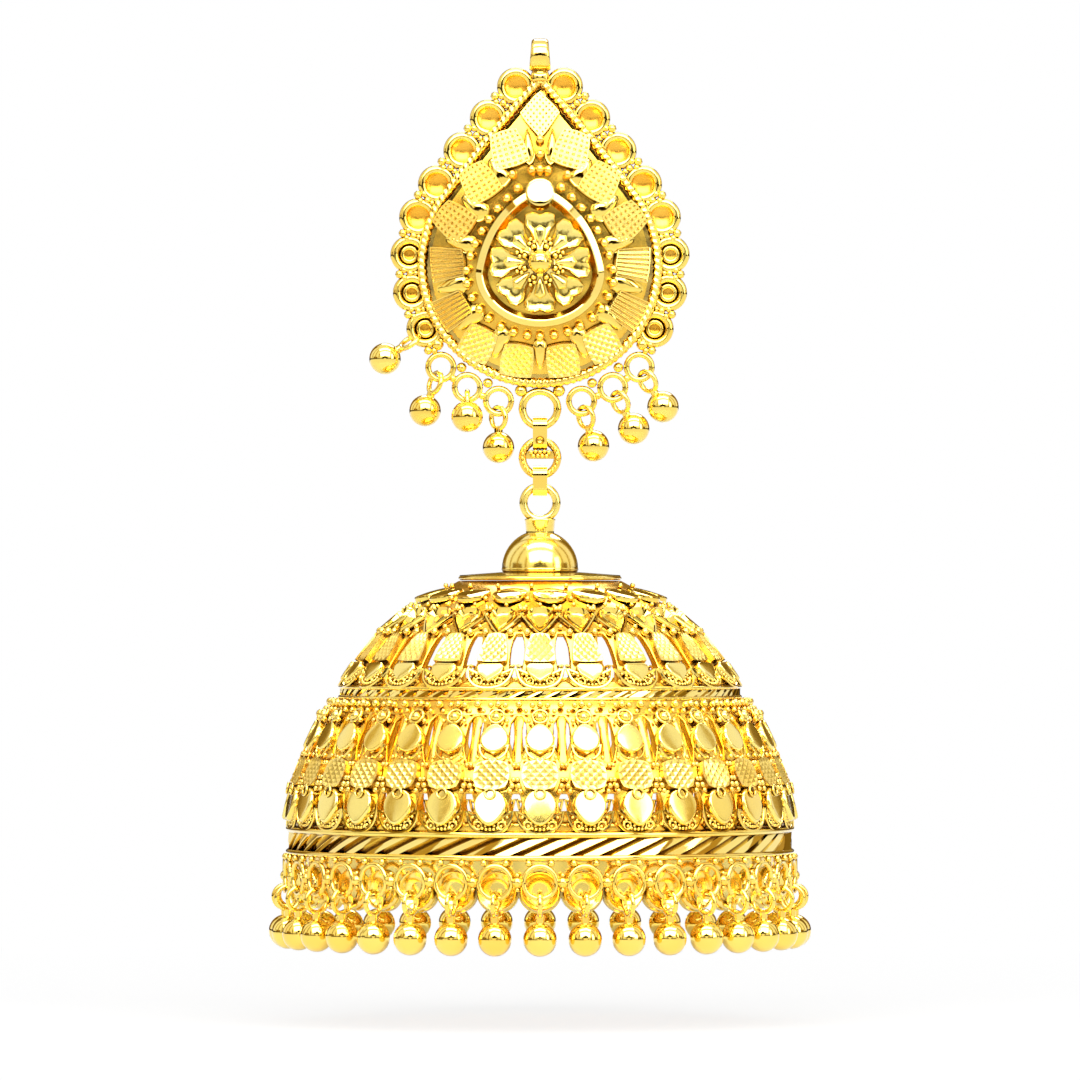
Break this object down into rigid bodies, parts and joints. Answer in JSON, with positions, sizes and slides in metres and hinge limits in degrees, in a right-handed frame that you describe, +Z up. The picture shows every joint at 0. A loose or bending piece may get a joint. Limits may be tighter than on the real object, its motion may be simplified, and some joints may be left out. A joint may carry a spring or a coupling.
{
  "type": "jhumka earring",
  "caption": "Gold bell earring: pear-shaped ear top with a post, linked strap and ring, and a hollow pierced bell with a fringe of ball drops.",
  "frame": {"origin": "root of the ear post, on the back of its foot, where the ear lobe lies", "axes": "+Z up along the earring, +Y along the ear post towards the wearer's head, -Y is the front"},
  "size_m": [0.0368, 0.0368, 0.0617],
  "materials": {
    "polished_gold": "22 karat gold, mirror polished",
    "bright_cut_gold": "22 karat gold, bright cut with a diamond tool",
    "knurled_gold": "22 karat gold, pierced and milled, satin grain between polished pieces",
    "granulated_gold": "22 karat gold granules",
    "twisted_wire_gold": "22 karat gold wire, twisted"
  },
  "bodies": {
    "stud": {"ear_post": "polished_gold", "stud_base": "twisted_wire_gold", "stud_panel": "knurled_gold", "centre_band": "bright_cut_gold", "centre_flower": "polished_gold", "bright_disc": "polished_gold", "stud_drop_1": "polished_gold", "stud_drop_2": "polished_gold", "stud_drop_3": "polished_gold", "stud_drop_4": "polished_gold", "stud_drop_5": "polished_gold", "stud_drop_6": "polished_gold", "stud_drop_7": "polished_gold"},
    "connector": {"upper_link": "polished_gold", "beaded_ring": "granulated_gold", "lower_link": "polished_gold"},
    "bell": {"bell_finial": "polished_gold", "crown_plate": "polished_gold", "upper_tier": "knurled_gold", "middle_band": "bright_cut_gold", "lower_tier": "knurled_gold", "rim_band": "bright_cut_gold", "rim_skirt": "polished_gold", "rim_rings": "polished_gold", "rim_drop_01": "polished_gold", "rim_drop_02": "polished_gold", "rim_drop_03": "polished_gold", "rim_drop_04": "polished_gold", "rim_drop_05": "polished_gold", "rim_drop_06": "polished_gold", "rim_drop_07": "polished_gold", "rim_drop_08": "polished_gold", "rim_drop_09": "polished_gold", "rim_drop_10": "polished_gold", "rim_drop_11": "polished_gold", "rim_drop_12": "polished_gold", "rim_drop_13": "polished_gold", "rim_drop_14": "polished_gold", "rim_drop_15": "polished_gold", "rim_drop_16": "polished_gold", "rim_drop_17": "polished_gold", "rim_drop_18": "polished_gold", "rim_drop_19": "polished_gold", "rim_drop_20": "polished_gold", "rim_drop_21": "polished_gold", "rim_drop_22": "polished_gold", "rim_drop_23": "polished_gold", "rim_drop_24": "polished_gold", "rim_drop_25": "polished_gold", "rim_drop_26": "polished_gold", "rim_drop_27": "polished_gold", "rim_drop_28": "polished_gold", "rim_drop_29": "polished_gold", "rim_drop_30": "polished_gold", "rim_drop_31": "polished_gold", "rim_drop_32": "polished_gold", "rim_drop_33": "polished_gold", "rim_drop_34": "polished_gold", "rim_drop_35": "polished_gold", "rim_drop_36": "polished_gold"}
  },
  "joints": [
    {"name": "swing_fore_aft", "type": "hinge", "parent": "stud", "child": "connector", "pos_m": [0, -0.0013, -0.01264], "axis": [1, 0, 0], "range_deg": [-30, 30]},
    {"name": "swing_side", "type": "hinge", "parent": "connector", "child": "bell", "pos_m": [0, -0.0013, -0.01785], "axis": [0, 1, 0], "range_deg": [-30, 30]}
  ]
}
